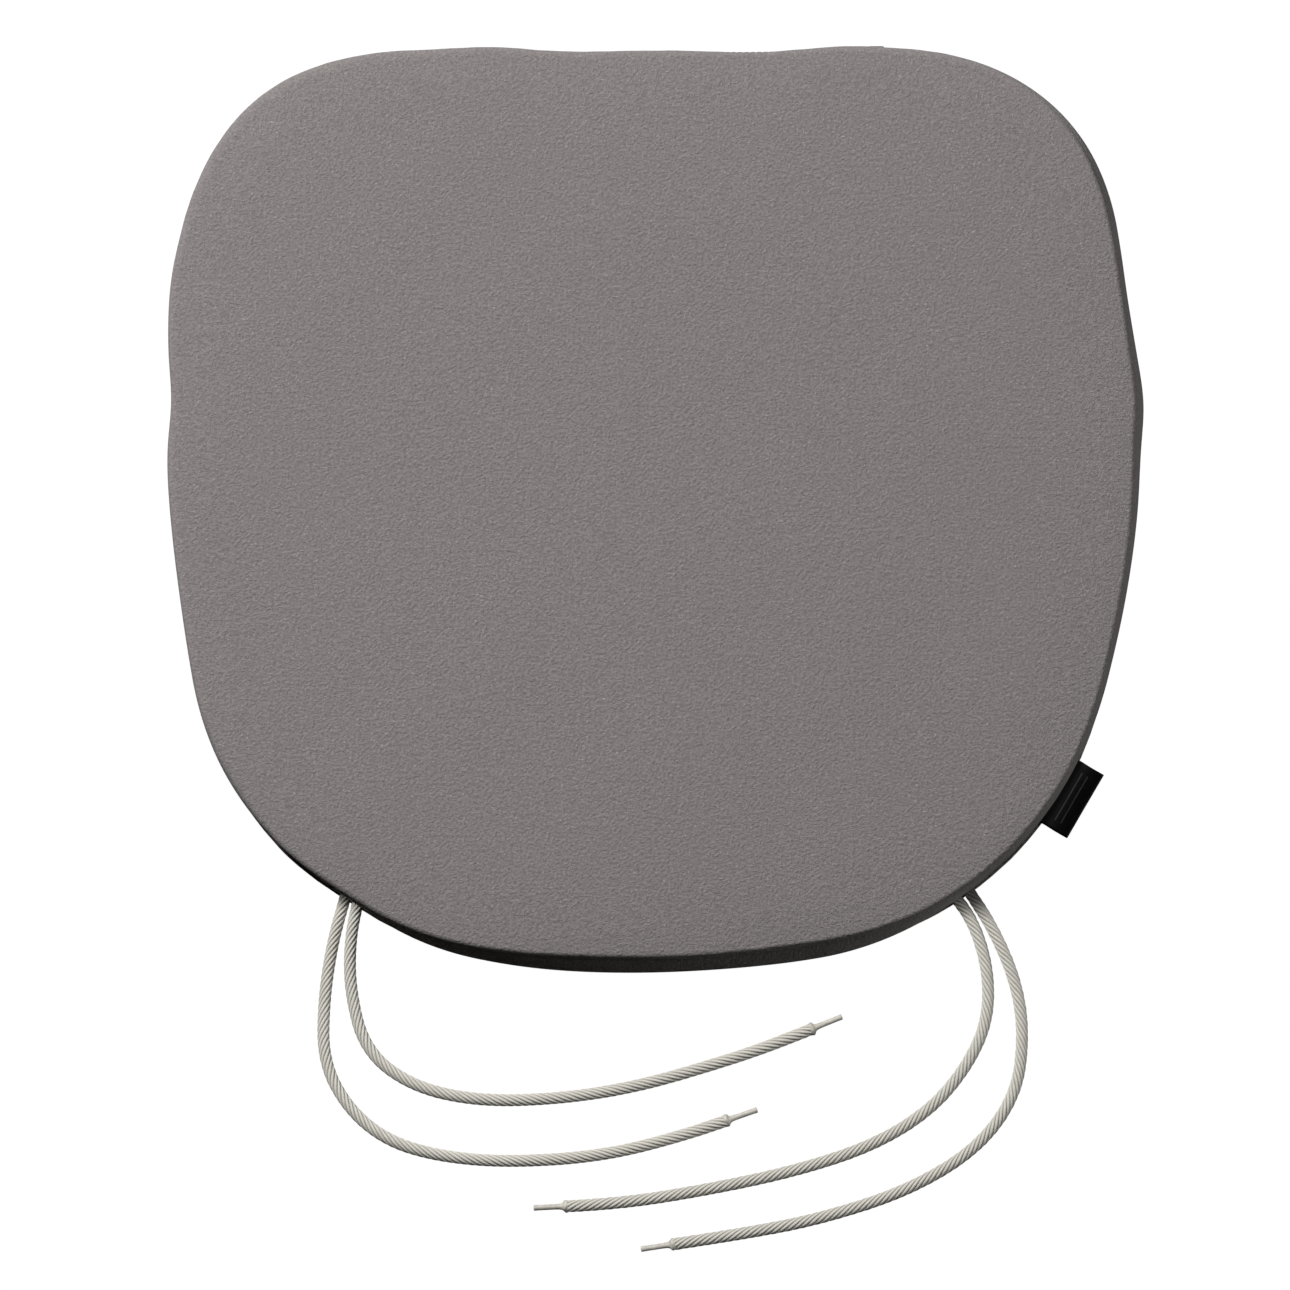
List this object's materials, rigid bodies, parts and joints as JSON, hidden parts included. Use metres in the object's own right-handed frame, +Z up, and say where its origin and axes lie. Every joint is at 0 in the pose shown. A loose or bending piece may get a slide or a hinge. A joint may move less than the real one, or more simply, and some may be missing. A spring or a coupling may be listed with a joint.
{
  "type": "chair seat pad",
  "caption": "Thin chair seat pad with rounded corners, a foam slab in a zipped suede-look fabric cover, and tie cords at the rear.",
  "frame": {"origin": "middle of the pad's underside, on the surface it rests on", "axes": "+Z up, +Y towards the chair's front where the zip is, +X along the width; the ties leave towards -Y"},
  "size_m": [0.4, 0.498, 0.025],
  "materials": {
    "cover_fabric": "taupe-grey brushed suede-look polyester, matt with a fine grain",
    "foam": "open-cell polyurethane foam, matt",
    "zip_tape": "woven polyester tape, herringbone",
    "zip_coil": "moulded monofilament coil, satin",
    "zip_metal": "enamelled zinc, worn bright at the edges",
    "thread": "spun polyester sewing thread",
    "tab_weave": "black woven label tape, satin",
    "care_label": "blank white satin ribbon",
    "tie_cord": "cream twisted cotton cord",
    "tie_tip": "cream dipped plastic, satin"
  },
  "bodies": {
    "pad": {"foam_core": "foam", "top_panel": "cover_fabric", "bottom_panel": "cover_fabric", "side_band": "cover_fabric", "zip_strip_upper": "cover_fabric", "zip_strip_lower": "cover_fabric", "zip_tape_upper": "zip_tape", "zip_tape_lower": "zip_tape", "zip_coil_upper": "zip_coil", "zip_coil_lower": "zip_coil", "zip_top_stops": "zip_metal", "zip_bottom_stop": "zip_metal", "zip_stitching_upper": "thread", "zip_stitching_lower": "thread", "top_seam_thread": "thread", "bottom_seam_thread": "thread", "band_join_thread": "thread", "side_tab": "tab_weave", "care_label": "care_label", "tie_tack_left": "thread", "tie_tack_right": "thread", "tie_cord_left_outer": "tie_cord", "tie_tip_left_outer": "tie_tip", "tie_cord_left_inner": "tie_cord", "tie_tip_left_inner": "tie_tip", "tie_cord_right_inner": "tie_cord", "tie_tip_right_inner": "tie_tip", "tie_cord_right_outer": "tie_cord", "tie_tip_right_outer": "tie_tip"},
    "zip_slider": {"zip_slider_body": "zip_metal"},
    "zip_pull": {"zip_pull_tab": "zip_metal"}
  },
  "joints": [
    {"name": "zip_slide", "type": "slide", "parent": "pad", "child": "zip_slider", "axis": [-1, 0, 0], "range_m": [0, 0.184]},
    {"name": "zip_pull_hinge", "type": "hinge", "parent": "zip_slider", "child": "zip_pull", "pos_m": [0.092, 0.19189, 0.0125], "axis": [0, 0, -1], "range_deg": [0, 180]}
  ]
}
